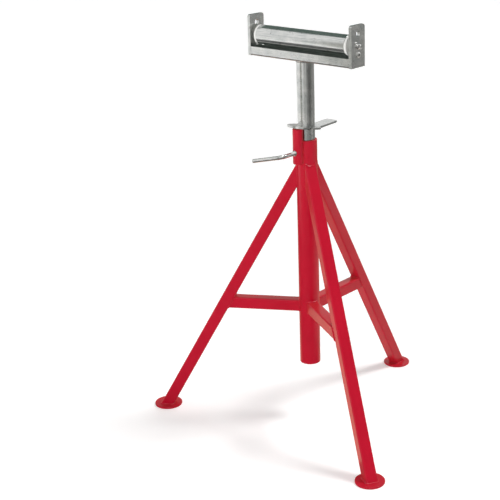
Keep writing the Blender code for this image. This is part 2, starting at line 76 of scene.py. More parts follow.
# camera at the photograph's angle; the shift puts the column where the photograph has it
cameraSettings = {
    "azimuth": 39.6078, "distance": 2.8268, "height": 1.4461,     # round the column, metres
    "pitch": 17.741, "yaw": -0.1116, "roll": -0.9726,             # degrees
    "lens": 88.15, "sensor": 36, "shift": (-0.12, -0.08),
}


def addCamera(s):
    data = bpy.data.cameras.new("camera")
    data.lens = s["lens"]
    data.sensor_width = s["sensor"]
    data.shift_x, data.shift_y = s["shift"]
    camera = addObject("camera", data)
    azimuth = math.radians(s["azimuth"])
    away = s["distance"]
    stand = Matrix.Translation((away * math.sin(azimuth), axisY - away * math.cos(azimuth), s["height"]))
    turn = Matrix.Rotation(azimuth + math.radians(s["yaw"]), 4, "Z")
    tip = Matrix.Rotation(math.radians(90 - s["pitch"]), 4, "X")
    roll = Matrix.Rotation(math.radians(s["roll"]), 4, "Z")
    camera.matrix_world = stand @ turn @ tip @ roll
    bpy.context.scene.camera = camera


# materials

# sockets of a Mix node, which share their names
factor, floatA, floatB, colourA, colourB = 0, 2, 3, 6, 7
mixedFloat, mixedColour = 0, 2


def hexColour(code):
    parts = [int(code[i:i + 2], 16) / 255 for i in (1, 3, 5)]
    linear = [p / 12.92 if p <= 0.04045 else ((p + 0.055) / 1.055) ** 2.4 for p in parts]
    return (*linear, 1)


def perMetre(millimetres):                                   # pattern scale for a size in millimetres
    return 1000 / millimetres


def wire(tree, node, values=None, links=None):
    for socket, value in (values or {}).items():
        node.inputs[socket].default_value = value
    for socket, source in (links or {}).items():
        tree.links.new(source, node.inputs[socket])
    return node


def addNode(tree, kind, values=None, links=None, **settings):
    node = tree.nodes.new(kind)
    for key, value in settings.items():
        setattr(node, key, value)
    return wire(tree, node, values, links)


def startMaterial(name):
    # surface links a pattern to the piece's own coordinates
    material = bpy.data.materials.new(name)
    material.use_nodes = True
    tree = material.node_tree
    surface = {"Vector": addNode(tree, "ShaderNodeTexCoord").outputs["Object"]}
    return material, tree, tree.nodes["Principled BSDF"], surface


enamelSettings = {
    "deep": "#B60A27", "bright": "#C8102F",
    "mottle": 80, "peel": 3.0, "haze": 22,                   # millimetres
    "peelHeight": 0.00006, "peelStrength": 0.5,
    "smooth": 0.14, "dull": 0.24, "ior": 1.52, "specular": 0.27,
    "glow": 0.7, "glowSpread": 0.35, "glowTint": "#FF9573",  # slanting light warms the red
}


def redEnamel(s):
    # gloss enamel sprayed on steel tube: deep red, faint orange peel, sharp pale reflections
    material, tree, shader, surface = startMaterial("red_gloss_enamel")
    mottle = addNode(tree, "ShaderNodeTexNoise", {"Scale": perMetre(s["mottle"]), "Detail": 3}, surface)
    shades = addNode(tree, "ShaderNodeMix", {colourA: hexColour(s["deep"]), colourB: hexColour(s["bright"])},
                     {factor: mottle.outputs["Fac"]}, data_type="RGBA")
    haze = addNode(tree, "ShaderNodeTexNoise", {"Scale": perMetre(s["haze"]), "Detail": 4}, surface)
    rough = addNode(tree, "ShaderNodeMapRange", {"To Min": s["smooth"], "To Max": s["dull"]},
                    {"Value": haze.outputs["Fac"]})
    peel = addNode(tree, "ShaderNodeTexNoise", {"Scale": perMetre(s["peel"]), "Detail": 1}, surface)
    bump = addNode(tree, "ShaderNodeBump", {"Strength": s["peelStrength"], "Distance": s["peelHeight"]},
                   {"Height": peel.outputs["Fac"]})
    wire(tree, shader,
         {"IOR": s["ior"], "Specular IOR Level": s["specular"], "Sheen Weight": s["glow"],
          "Sheen Roughness": s["glowSpread"], "Sheen Tint": hexColour(s["glowTint"])},
         {"Base Color": shades.outputs[mixedColour], "Roughness": rough.outputs[0],
          "Normal": bump.outputs[0]})
    return material


zincSettings = {
    # the fourth colour is painted shade for the inside of the channel, under the roller
    "pale": "#E3E2DF", "grey": "#B5B9B8", "scuff": "#6A6B6B", "paintedShade": "#9AA29D",
    "cloud": 26, "grainAcross": 1.4, "grainAlong": 70, "scuffSize": 9,   # millimetres
    "streaks": 0.4,                                                      # share of the draw lines
    "contrast": (0.3, 0.7), "scuffLevels": (0.64, 0.72), "scuffDepth": 0.6,
    "grainHeight": 0.00003, "grainStrength": 0.4,
    "smooth": 0.14, "dull": 0.30, "paintedShadeRough": 0.6,                          # roughness
}
# where the painted shade lies inside the channel
troughSettings = {"wall": 0.0028, "web": 0.0030, "wallFade": 0.0010, "rimFade": 0.0030, "below": 0.0005}


def paintedTroughShade(tree, coords, s):
    # painted shade where the channel is open, under the roller: darker and duller zinc that fades out at the
    # walls and towards the rim
    half = channelHigh.y - axisY - s["wall"]
    floor = channelLow.z + s["web"] - s["below"]
    rim = channelHigh.z
    axes = addNode(tree, "ShaderNodeSeparateXYZ", links={0: coords}).outputs
    off = addNode(tree, "ShaderNodeMath", {1: axisY}, {0: axes["Y"]}, operation="SUBTRACT")
    side = addNode(tree, "ShaderNodeMath", links={0: off.outputs[0]}, operation="ABSOLUTE")
    inside = addNode(tree, "ShaderNodeMapRange", {"From Min": half + s["wallFade"], "From Max": half},
                     {"Value": side.outputs[0]})
    under = addNode(tree, "ShaderNodeMapRange", {"From Min": rim, "From Max": rim - s["rimFade"]},
                    {"Value": axes["Z"]})
    above = addNode(tree, "ShaderNodeMath", {1: floor}, {0: axes["Z"]}, operation="GREATER_THAN")
    shadeMask = addNode(tree, "ShaderNodeMath", links={0: inside.outputs[0], 1: under.outputs[0]},
                   operation="MULTIPLY")
    return addNode(tree, "ShaderNodeMath", links={0: shadeMask.outputs[0], 1: above.outputs[0]},
                   operation="MULTIPLY").outputs[0]


def zincPlate(name, grain, s, trough=None):
    # electroplated zinc on drawn steel: cloudy grey, draw lines along the metal, a few scuffs
    material, tree, shader, surface = startMaterial(name)
    cloud = addNode(tree, "ShaderNodeTexNoise", {"Scale": perMetre(s["cloud"]), "Detail": 4}, surface)
    across, along = perMetre(s["grainAcross"]), perMetre(s["grainAlong"])
    stretch = [along if axis in grain else across for axis in "XYZ"]
    lines = addNode(tree, "ShaderNodeMapping", {"Scale": stretch}, surface)
    drawn = addNode(tree, "ShaderNodeTexNoise", {"Scale": 1, "Detail": 2}, {"Vector": lines.outputs[0]})
    mottled = addNode(tree, "ShaderNodeMix", {factor: s["streaks"]},
                      {floatA: cloud.outputs["Fac"], floatB: drawn.outputs["Fac"]})
    least, most = s["contrast"]
    spread = addNode(tree, "ShaderNodeMapRange", {"From Min": least, "From Max": most},
                     {"Value": mottled.outputs[mixedFloat]})
    shades = addNode(tree, "ShaderNodeMix", {colourA: hexColour(s["pale"]), colourB: hexColour(s["grey"])},
                     {factor: spread.outputs[0]}, data_type="RGBA")
    marks = addNode(tree, "ShaderNodeTexNoise", {"Scale": perMetre(s["scuffSize"]), "Detail": 5}, surface)
    faint, full = s["scuffLevels"]
    worn = addNode(tree, "ShaderNodeMapRange",
                   {"From Min": faint, "From Max": full, "To Max": s["scuffDepth"]},
                   {"Value": marks.outputs["Fac"]})
    colour = addNode(tree, "ShaderNodeMix", {colourB: hexColour(s["scuff"])},
                     {factor: worn.outputs[0], colourA: shades.outputs[mixedColour]},
                     data_type="RGBA").outputs[mixedColour]
    rough = addNode(tree, "ShaderNodeMapRange", {"To Min": s["smooth"], "To Max": s["dull"]},
                    {"Value": drawn.outputs["Fac"]}).outputs[0]
    bump = addNode(tree, "ShaderNodeBump", {"Strength": s["grainStrength"], "Distance": s["grainHeight"]},
                   {"Height": drawn.outputs["Fac"]})
    # painted shade inside the channel: a darker colour and a duller gloss
    if trough:
        paintedShade = paintedTroughShade(tree, surface["Vector"], trough)
        colour = addNode(tree, "ShaderNodeMix", {colourB: hexColour(s["paintedShade"])},
                         {factor: paintedShade, colourA: colour}, data_type="RGBA").outputs[mixedColour]
        rough = addNode(tree, "ShaderNodeMix", {floatB: s["paintedShadeRough"]},
                        {factor: paintedShade, floatA: rough}).outputs[mixedFloat]
    wire(tree, shader, {"Metallic": 1},
         {"Base Color": colour, "Roughness": rough, "Normal": bump.outputs[0]})
    return material


steelSettings = {
    "pale": "#ECECEA", "grey": "#D0D0CE", "smooth": 0.20, "dull": 0.32,
    "tool": 0.7, "around": 500,                              # millimetres
}


def turnedSteel(name, s):
    # bright turned bar: faint rings left by the tool along X
    material, tree, shader, surface = startMaterial(name)
    around = perMetre(s["around"])
    rings = addNode(tree, "ShaderNodeMapping", {"Scale": (perMetre(s["tool"]), around, around)}, surface)
    tool = addNode(tree, "ShaderNodeTexNoise", {"Scale": 1, "Detail": 2}, {"Vector": rings.outputs[0]})
    shades = addNode(tree, "ShaderNodeMix", {colourA: hexColour(s["pale"]), colourB: hexColour(s["grey"])},
                     {factor: tool.outputs["Fac"]}, data_type="RGBA")
    rough = addNode(tree, "ShaderNodeMapRange", {"To Min": s["smooth"], "To Max": s["dull"]},
                    {"Value": tool.outputs["Fac"]})
    wire(tree, shader, {"Metallic": 1},
         {"Base Color": shades.outputs[mixedColour], "Roughness": rough.outputs[0]})
    return material


plasticSettings = {
    "white": ("#F3F3F0", "#E4E4DF"), "black": ("#1C1C1C", "#101010"),
    "flow": 14, "spark": 0.6,                                # millimetres
    "sparkHeight": 0.00003, "sparkStrength": 0.3, "smooth": 0.36, "dull": 0.50, "ior": 1.49,
}


def mouldedPlastic(name, colours, s):
    # injection moulded polypropylene: soft sheen, spark-eroded skin, faint flow marks
    material, tree, shader, surface = startMaterial(name)
    flow = addNode(tree, "ShaderNodeTexNoise", {"Scale": perMetre(s["flow"]), "Detail": 2}, surface)
    shades = addNode(tree, "ShaderNodeMix", {colourA: hexColour(colours[0]), colourB: hexColour(colours[1])},
                     {factor: flow.outputs["Fac"]}, data_type="RGBA")
    spark = addNode(tree, "ShaderNodeTexNoise", {"Scale": perMetre(s["spark"]), "Detail": 1}, surface)
    bump = addNode(tree, "ShaderNodeBump", {"Strength": s["sparkStrength"], "Distance": s["sparkHeight"]},
                   {"Height": spark.outputs["Fac"]})
    rough = addNode(tree, "ShaderNodeMapRange", {"To Min": s["smooth"], "To Max": s["dull"]},
                    {"Value": flow.outputs["Fac"]})
    wire(tree, shader, {"IOR": s["ior"]},
         {"Base Color": shades.outputs[mixedColour], "Roughness": rough.outputs[0],
          "Normal": bump.outputs[0]})
    return material


enamel = redEnamel(enamelSettings)
zincUp = zincPlate("zinc_plate_grain_up", "Z", zincSettings)           # post and end plates
zincAlong = zincPlate("zinc_plate_grain_along", "X", zincSettings)     # clamp bar
# the channel's zinc has painted shade inside it, under the roller
zincTrough = zincPlate("zinc_plate_painted_shade_trough", "X", zincSettings, troughSettings)
lockFinish = {**zincSettings, "smooth": 0.10, "dull": 0.20}
zincFlat = zincPlate("zinc_plate_grain_deep", "Y", lockFinish)
rollerFinish = {**zincSettings, "smooth": 0.10, "dull": 0.24, "streaks": 0.65}
zincRoller = zincPlate("zinc_plate_drawn_tube", "X", rollerFinish)
steel = turnedSteel("turned_steel", steelSettings)
bushFinish = {**steelSettings, "smooth": 0.40, "dull": 0.55}
satinSteel = turnedSteel("satin_turned_steel", bushFinish)
whitePlastic = mouldedPlastic("white_moulded_plastic", plasticSettings["white"], plasticSettings)
blackPlastic = mouldedPlastic("black_moulded_plastic", plasticSettings["black"], plasticSettings)
print("materials made")


# modelling helpers

def lathe(profile, steps=96):
    # the profile lists radius and height, down the outer side
    bm = bmesh.new()
    verts = [bm.verts.new((radius, 0, height)) for radius, height in profile]
    for a, b in zip(verts, verts[1:] + verts[:1]):
        if a.co.x > 0 or b.co.x > 0:                         # no edge along the axis itself
            bm.edges.new((a, b))
    bmesh.ops.spin(bm, geom=bm.verts[:] + bm.edges[:], cent=(0, 0, 0), axis=(0, 0, 1), angle=math.tau,
                   steps=steps, use_merge=True)
    bmesh.ops.remove_doubles(bm, verts=bm.verts, dist=tiny)
    bmesh.ops.recalc_face_normals(bm, faces=bm.faces)
    return bm


def roundBar(radius, low, high, steps=96):
    return lathe([(0, high), (radius, high), (radius, low), (0, low)], steps)


def roundTube(radius, wall, low, high, steps=128):
    inner = radius - wall
    return lathe([(radius, high), (radius, low), (inner, low), (inner, high)], steps)


def bevel(bm, geom, width, segments, affect="EDGES"):
    bmesh.ops.bevel(bm, geom=geom, offset=width, offset_type="OFFSET", segments=segments, profile=0.5,
                    affect=affect, clamp_overlap=True, material=-1)


def roundEdges(bm, width, segments=3, sharp=30):             # sharp is in degrees
    limit = math.radians(sharp)
    edges = [e for e in bm.edges if len(e.link_faces) == 2 and e.calc_face_angle() > limit]
    bevel(bm, edges, width, segments)


def vertsOf(geom):
    return [g for g in geom if isinstance(g, bmesh.types.BMVert)]


def place(bm, matrix):
    bmesh.ops.transform(bm, matrix=matrix, verts=bm.verts)
    return bm


def lying(direction=1):                                      # turns Z to point along X
    return Matrix.Rotation(math.radians(90 * direction), 4, "Y")


def toMesh(name, bm):
    mesh = bpy.data.meshes.new(name)
    bm.to_mesh(mesh)
    bm.free()
    return mesh


def join(bm, other):
    bm.from_mesh(toMesh("joined", other))


def carve(piece, cutterBm):
    cutter = addObject("cutter", toMesh("cutter", cutterBm))
    cut = piece.modifiers.new("cut", "BOOLEAN")
    cut.operation = "DIFFERENCE"
    cut.object = cutter
    bpy.context.view_layer.update()
    carved = bpy.data.meshes.new_from_object(piece.evaluated_get(bpy.context.evaluated_depsgraph_get()))
    piece.modifiers.clear()
    piece.data = carved
    bpy.data.objects.remove(cutter)


smoothLimit = 35                                             # degrees; steeper edges stay crisp
dressed = []                                                 # every finished piece


def addPiece(name, bm, body, material, slotName, *nodes):
    return finishPiece(name, toMesh(name, bm), body, material, slotName, *nodes)


def finishPiece(name, mesh, body, material, slotName, *nodes):
    mesh.materials.clear()
    mesh.materials.append(material)
    mesh.shade_smooth()
    mesh.set_sharp_from_angle(angle=math.radians(smoothLimit))
    piece = addObject(name, mesh)
    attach(piece, body)
    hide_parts(*nodes)
    dressed.append(piece)
    return piece


def meshFromCurve(name, strands, radius, closed=False, sides=4):
    # each strand is a list of points with a width factor
    curve = bpy.data.curves.new(name, "CURVE")
    curve.dimensions = "3D"
    curve.bevel_depth = radius
    curve.bevel_resolution = sides
    curve.use_fill_caps = not closed
    for strand in strands:
        spline = curve.splines.new("POLY")
        spline.points.add(len(strand) - 1)
        spline.use_cyclic_u = closed
        for point, (co, width) in zip(spline.points, strand):
            point.co = (*co, 1)
            point.radius = width
    holder = addObject(name, curve)
    bpy.context.view_layer.update()
    mesh = bpy.data.meshes.new_from_object(holder.evaluated_get(bpy.context.evaluated_depsgraph_get()))
    bpy.data.objects.remove(holder)
    bm = bmesh.new()
    bm.from_mesh(mesh)
    bmesh.ops.remove_doubles(bm, verts=bm.verts, dist=tiny)
    bmesh.ops.recalc_face_normals(bm, faces=bm.faces)
    bm.to_mesh(mesh)
    bm.free()
    mesh.name = name
    return mesh


weldSettings = {
    "radius": 0.0021, "pitch": 0.0034, "ripple": 0.16, "step": 0.0008, "leastSteps": 4, "sides": 3,
    "sway": 0.08, "swayPace": 1.7, "swayStart": 0.6,         # the width also drifts along the seam
}


def weldStrand(points, closed, s, size=1.0):
    # evenly spaced points along the seam, swelling once for each dab of the weld
    loop = [Vector(p) for p in points]
    if closed:
        loop.append(loop[0])
    lengths = [(b - a).length for a, b in zip(loop, loop[1:])]
    total = sum(lengths)
    count = max(s["leastSteps"], round(total / s["step"]))
    strand = []
    for i in range(count if closed else count + 1):
        travel = total * i / count
        k = 0
        left = travel
        while k < len(lengths) - 1 and left > lengths[k]:
            left -= lengths[k]
            k += 1
        spot = loop[k].lerp(loop[k + 1], left / lengths[k] if lengths[k] else 0)
        dab = travel / s["pitch"]
        swell = s["ripple"] * (abs(math.sin(math.pi * dab)) - 0.5)
        drift = s["sway"] * math.sin(s["swayPace"] * dab + s["swayStart"])
        strand.append((spot, size * (1 + swell + drift)))
    return strand


def addWelds(name, strands, body, material, slotName, closed=False):
    mesh = meshFromCurve(name, strands, weldSettings["radius"], closed, weldSettings["sides"])
    finishPiece(name, mesh, body, material, slotName)


# red base

tubeSettings = {
    "wall": 0.0020, "corner": 0.0030, "cornerSegments": 5, "join": 0.629, "bury": 0.0012,
    "flatCuts": 6, "seamSteps": 6,
}
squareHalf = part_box("brace_rear")[1].x
braceHeight = middle("brace_rear").z
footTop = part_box("foot_disc_rear")[1].z
footCircle = middle("foot_disc_rear").y - axisY
lean = math.atan2(footCircle - columnRadius, tubeSettings["join"] - footTop)


def squareTube(s):
    # a hollow square tube, 1 high: its ends are then moved on to what they meet
    bm = bmesh.new()
    bmesh.ops.create_grid(bm, x_segments=1, y_segments=1, size=squareHalf)
    bevel(bm, bm.verts[:], s["corner"], s["cornerSegments"], "VERTICES")
    flats = [e for e in bm.edges if e.calc_length() > squareHalf]
    bmesh.ops.subdivide_edges(bm, edges=flats, cuts=s["flatCuts"])
    outline = bm.faces[:]
    bmesh.ops.inset_individual(bm, faces=outline, thickness=s["wall"], use_even_offset=True)
    bmesh.ops.delete(bm, geom=outline, context="FACES_ONLY")
    raised = bmesh.ops.extrude_face_region(bm, geom=bm.faces[:])
    bmesh.ops.translate(bm, verts=vertsOf(raised["geom"]), vec=(0, 0, 1))
    bmesh.ops.recalc_face_normals(bm, faces=bm.faces)
    return bm


def legPoint(a, b, top, bury):
    # a is across the leg in its upright plane, b is sideways; the tube runs from its foot to the column
    if top:
        reach = math.sqrt((columnRadius - bury) ** 2 - b * b)
        t = (footCircle + a * math.cos(lean) - reach) / math.sin(lean)
    else:
        t = -(bury + a * math.sin(lean)) / math.cos(lean)
    x = footCircle + a * math.cos(lean) - t * math.sin(lean)
    return Vector((x, b, footTop + a * math.sin(lean) + t * math.cos(lean)))


def bracePoint(a, b, outer, bury):
    # a is upwards, b is sideways; the tube runs from the column to the leg's inner face
    z = braceHeight + a
    if outer:
        x = footCircle + (bury - squareHalf - (z - footTop) * math.sin(lean)) / math.cos(lean)
    else:
        x = math.sqrt((columnRadius - bury) ** 2 - b * b)
    return Vector((x, b, z))


def seam(pointAt, end, s):
    # the line round the tube's outline where it meets its neighbour
    corner = s["corner"]
    flat = squareHalf - corner
    outline = []
    for quarter, (sa, sb) in enumerate(((1, 1), (-1, 1), (-1, -1), (1, -1))):
        for step in range(s["cornerSegments"] + 1):
            angle = math.radians(90 * quarter + 90 * step / s["cornerSegments"])
            outline.append((sa * flat + corner * math.cos(angle), sb * flat + corner * math.sin(angle)))
    steps = s["seamSteps"]
    points = []
    for start, stop in zip(outline, outline[1:] + outline[:1]):
        for k in range(steps):
            a, b = (u + (v - u) * k / steps for u, v in zip(start, stop))
            points.append(pointAt(a, b, end, 0))
    return points


def buildArm(name, degrees, s):
    turn = onAxis @ Matrix.Rotation(math.radians(degrees), 4, "Z")
    strands = []
    for kind, pointAt in (("leg", legPoint), ("brace", bracePoint)):
        bm = squareTube(s)
        for v in bm.verts:
            farEnd = v.co.z > 0.5
            v.co = pointAt(v.co.x, v.co.y, farEnd, s["bury"])
        # the brace's points are mirrored, so its faces are turned outwards again
        bm.normal_update()
        bmesh.ops.recalc_face_normals(bm, faces=bm.faces)
        addPiece(f"enamelled_{kind}_{name}", place(bm, turn), "base", enamel, "red_paint", f"{kind}_{name}")
        for end in (False, True):
            strands.append(weldStrand([turn @ p for p in seam(pointAt, end, s)], True, weldSettings))
    addWelds("welds_" + name, strands, "base", enamel, "red_paint", closed=True)


footSettings = {"round": 0.0009, "segments": 3}


def buildFoot(name, s):
    low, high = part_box("foot_disc_" + name)
    bm = roundBar((high.x - low.x) / 2, low.z, high.z)
    roundEdges(bm, s["round"], s["segments"])
    centre = middle("foot_disc_" + name)
    place(bm, Matrix.Translation((centre.x, centre.y, 0)))
    addPiece("enamelled_foot_" + name, bm, "base", enamel, "red_paint", "foot_disc_" + name)


columnSettings = {"wall": 0.0032, "round": 0.0007}


def buildColumn(s):
    bm = roundTube(columnRadius, s["wall"], columnLow.z, columnHigh.z)
    roundEdges(bm, s["round"])
    addPiece("enamelled_column", place(bm, onAxis), "base", enamel, "red_paint", "column_tube")


bossSettings = {
    "round": 0.0010, "roundSegments": 3, "foot": 0.0030, "footSegments": 5,
    "overlap": 0.0004, "cutter": 1,                          # cut to sit a little into the column
    "hole": 0.0053, "holeDepth": 0.05, "sink": 0.0068, "sinkDepth": 0.0012, "lip": 0.0001, "clear": 0.01,
    "bare": 0.0004, "holeSteps": 48, "weld": 0.6, "weldLength": 0.014,
}


def buildBoss(s):
    low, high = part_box("fulcrum_boss")
    radius = high.x
    reach = axisY - (low.y + radius)                         # boss's axis in front of the column's
    bm = roundBar(radius, low.z, high.z)
    ends = ((low.z, s["foot"], s["footSegments"]), (high.z, s["round"], s["roundSegments"]))
    for rim, width, segments in ends:
        edges = [e for e in bm.edges
                 if all(abs(v.co.z - rim) < tiny and v.co.xy.length > tiny for v in e.verts)]
        bevel(bm, edges, width, segments)
    place(bm, Matrix.Translation((0, axisY - reach, 0)))
    piece = addPiece("enamelled_boss", bm, "base", enamel, "red_paint", "fulcrum_boss")
    carve(piece, place(roundBar(columnRadius - s["overlap"], 0, s["cutter"], steps=128), onAxis))
    pivot = joints["clamp_turn"]["pos_m"]
    face = axisY - reach - radius
    along = Matrix.Translation((0, face, pivot[2])) @ Matrix.Rotation(math.radians(-90), 4, "X")
    # the hole's mouth is countersunk, and the wide end stands clear of the boss
    drill = lathe([(0, s["holeDepth"]), (s["hole"], s["holeDepth"]), (s["hole"], s["sinkDepth"]),
                   (s["sink"], -s["lip"]), (s["sink"], -s["clear"]), (0, -s["clear"])], s["holeSteps"])
    carve(piece, place(drill, along))
    # the cut metal of the countersink is bare
    ring = lathe([(s["sink"], -s["bare"]), (s["hole"], s["sinkDepth"] - s["bare"]),
                  (s["hole"], s["sinkDepth"]), (s["sink"], 0)], s["holeSteps"])
    addPiece("bare_countersink", place(ring, along), "base", steel, "bright_steel")
    # short seams on both sides at the boss's foot
    across = axisY - fulcrum.y
    side = math.sqrt(max(radius**2 - (reach - across) ** 2, 0))
    strands = []
    for sign in sides.values():
        start = Vector((sign * side, axisY - across, low.z + s["foot"]))
        line = [start, start + Vector((0, 0, s["weldLength"]))]
        strands.append(weldStrand(line, False, weldSettings, s["weld"]))
    addWelds("welds_boss", strands, "base", enamel, "red_paint")


for armName, armTurn in arms.items():
    buildArm(armName, armTurn, tubeSettings)
    buildFoot(armName, footSettings)
buildColumn(columnSettings)
buildBoss(bossSettings)
print("red base made")


# zinc plated post and head

postSettings = {"wall": 0.0030, "round": 0.0006, "weld": 1.1, "weldSteps": 48}


def buildPost(s):
    low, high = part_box("post_tube")
    radius = high.x
    bm = roundTube(radius, s["wall"], low.z, high.z)
    roundEdges(bm, s["round"])
    addPiece("zinc_post", place(bm, onAxis), "post_head", zincUp, "zinc_plate", "post_tube")
    angles = [math.tau * i / s["weldSteps"] for i in range(s["weldSteps"])]
    ring = [onAxis @ Vector((radius * math.cos(a), radius * math.sin(a), high.z)) for a in angles]
    strand = weldStrand(ring, True, weldSettings, s["weld"])
    addWelds("welds_post", [strand], "post_head", zincUp, "zinc_plate", closed=True)


channelSettings = {
    "wall": 0.0030, "bend": 0.0055, "bendSegments": 6, "round": 0.0004,
    "weld": 0.7, "weldShort": 0.004,                         # its welds stop short of the rim
}


def buildChannel(s):
    low, high = channelLow, channelHigh
    bm = bmesh.new()
    section = [(low.y, high.z), (low.y, low.z), (high.y, low.z), (high.y, high.z)]
    verts = [bm.verts.new((low.x, y, z)) for y, z in section]
    edges = [bm.edges.new(pair) for pair in zip(verts, verts[1:])]
    drawn = bmesh.ops.extrude_edge_only(bm, edges=edges)
    bmesh.ops.translate(bm, verts=vertsOf(drawn["geom"]), vec=(high.x - low.x, 0, 0))
    bends = [e for e in bm.edges if len(e.link_faces) == 2]
    bevel(bm, bends, s["bend"], s["bendSegments"])
    bmesh.ops.recalc_face_normals(bm, faces=bm.faces)
    web = max(bm.faces, key=lambda f: f.calc_area())
    thickness = s["wall"] if web.normal.z < 0 else -s["wall"]     # the wall goes inwards
    bmesh.ops.solidify(bm, geom=bm.faces[:], thickness=thickness)
    bmesh.ops.recalc_face_normals(bm, faces=bm.faces)
    roundEdges(bm, s["round"], segments=2, sharp=40)
    addPiece("zinc_channel", bm, "post_head", zincTrough, "zinc_plate", "head_channel")
    floor = low.z + s["wall"]
    top = high.z - s["weldShort"]
    wallY = high.y - axisY - s["wall"]
    front, back = axisY - wallY, axisY + wallY
    strands = []
    for x in (low.x, high.x):
        line = [(x, front, top), (x, front, floor), (x, back, floor), (x, back, top)]
        strands.append(weldStrand(line, False, weldSettings, s["weld"]))
    addWelds("welds_channel", strands, "post_head", zincAlong, "zinc_plate")


plateSettings = {
    "corner": 0.0060, "cornerSegments": 6, "round": 0.0009,
    "axleHole": 0.0063, "spareHole": 0.0070, "holeSegments": 48,
    "below": 0.019, "above": 0.029,                          # spare holes from the axle
}


def buildEndPlate(side, s):
    low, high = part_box("end_plate_" + side)
    axle = middle("axle")
    bm = bmesh.new()
    # drawn flat as Y and Z in the XY plane, then stood up
    size = ((high.y - low.y) / 2, (high.z - low.z) / 2)
    bmesh.ops.create_grid(bm, x_segments=1, y_segments=1, size=1)
    bmesh.ops.scale(bm, vec=(*size, 1), verts=bm.verts)
    bmesh.ops.translate(bm, vec=(axle.y, (low.z + high.z) / 2, 0), verts=bm.verts)
    upper = [v for v in bm.verts if v.co.y > axle.z]
    bevel(bm, upper, s["corner"], s["cornerSegments"], "VERTICES")
    bmesh.ops.delete(bm, geom=bm.faces[:], context="FACES_ONLY")
    for height, radius in ((0, s["axleHole"]), (-s["below"], s["spareHole"]), (s["above"], s["spareHole"])):
        bmesh.ops.create_circle(bm, cap_ends=False, segments=s["holeSegments"], radius=radius,
                                matrix=Matrix.Translation((axle.y, axle.z + height, 0)))
    bmesh.ops.triangle_fill(bm, use_beauty=True, use_dissolve=False, edges=bm.edges[:])
    raised = bmesh.ops.extrude_face_region(bm, geom=bm.faces[:])
    bmesh.ops.translate(bm, verts=vertsOf(raised["geom"]), vec=(0, 0, high.x - low.x))
    bmesh.ops.recalc_face_normals(bm, faces=bm.faces)
    roundEdges(bm, s["round"], segments=2, sharp=40)
    upright = Matrix(((0, 0, 1, low.x), (1, 0, 0, 0), (0, 1, 0, 0), (0, 0, 0, 1)))
    place(bm, upright)
    addPiece("zinc_end_plate_" + side, bm, "post_head", zincUp, "zinc_plate", "end_plate_" + side)


bushSettings = {
    "fit": 0.0001, "bore": 0.0036, "proud": 0.0030, "crown": 0.0014, "round": 0.0004, "steps": 48,
}


def buildBush(side, direction, s):
    # pressed into the lower spare hole, its crowned rim proud of the outer face
    low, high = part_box("end_plate_" + side)
    outer = high.x if direction > 0 else -low.x
    radius = plateSettings["spareHole"] - s["fit"]
    rim = outer + s["proud"]
    inner = outer - (high.x - low.x)
    profile = [(radius, rim - s["crown"]), (radius, inner), (s["bore"], inner), (s["bore"], rim)]
    bm = lathe(profile, s["steps"])
    roundEdges(bm, s["round"])
    axle = middle("axle")
    place(bm, Matrix.Translation((0, axle.y, axle.z - plateSettings["below"])) @ lying(direction))
    addPiece("pressed_bush_" + side, bm, "post_head", satinSteel, "bright_steel")


axleSettings = {"chamfer": 0.0022, "slope": 0.0012, "dimple": 0.0012, "dimpleDepth": 0.0006, "steps": 64}


def buildAxle(s):
    low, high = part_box("axle")
    radius = (high.y - low.y) / 2
    end = high.x
    half = [(0, end - s["dimpleDepth"]), (s["dimple"], end), (radius - s["chamfer"], end),
            (radius, end - s["slope"])]
    profile = half + [(across, -along) for across, along in reversed(half)]
    bm = lathe(profile, s["steps"])
    place(bm, Matrix.Translation(middle("axle")) @ lying())
    addPiece("turned_axle", bm, "post_head", steel, "bright_steel", "axle")


pinSettings = {
    "strand": 0.0006, "eye": 0.0030, "shank": 0.0032, "tail": 0.0062, "spread": 20, "turn": 38,
    "tailGap": 0.0008, "eyeSteps": 14, "eyeOpen": 20,
}


def buildSplitPin(side, s):
    # one wire doubled back on itself: an eye up in front, two tails bent apart down behind
    low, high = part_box("split_pin_" + side)
    axle = middle("axle")
    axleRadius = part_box("axle")[1].y - axle.y
    half = s["strand"]
    eyeCentre = -axleRadius - s["shank"] - s["eye"]
    tailStart = axleRadius + s["tailGap"]
    bend = math.radians(s["spread"])
    path = []
    for sign in (1, -1):
        tailEnd = (0, tailStart + s["tail"] * math.cos(bend), sign * (half + s["tail"] * math.sin(bend)))
        straight = [tailEnd, (0, tailStart, sign * half), (0, eyeCentre + s["eye"], sign * half)]
        path += straight if sign > 0 else straight[::-1]
        if sign > 0:
            for i in range(1, s["eyeSteps"]):
                angle = math.radians(s["eyeOpen"] + (360 - 2 * s["eyeOpen"]) * i / s["eyeSteps"])
                path.append((0, eyeCentre + s["eye"] * math.cos(angle), s["eye"] * math.sin(angle)))
    spot = Matrix.Translation(((low.x + high.x) / 2, axle.y, axle.z))
    turned = spot @ Matrix.Rotation(math.radians(-s["turn"]), 4, "X")
    strand = [(turned @ Vector(p), 1) for p in path]
    mesh = meshFromCurve("split_pin_wire_" + side, [strand], half, sides=3)
    finishPiece("split_pin_wire_" + side, mesh, "post_head", steel, "bright_steel", "split_pin_" + side)


buildPost(postSettings)
buildChannel(channelSettings)
buildAxle(axleSettings)
for sideName, sideSign in sides.items():
    buildEndPlate(sideName, plateSettings)
    buildBush(sideName, sideSign, bushSettings)
    buildSplitPin(sideName, pinSettings)
print("post and head made")


# roller

rollerSettings = {"wall": 0.0020, "round": 0.0006}


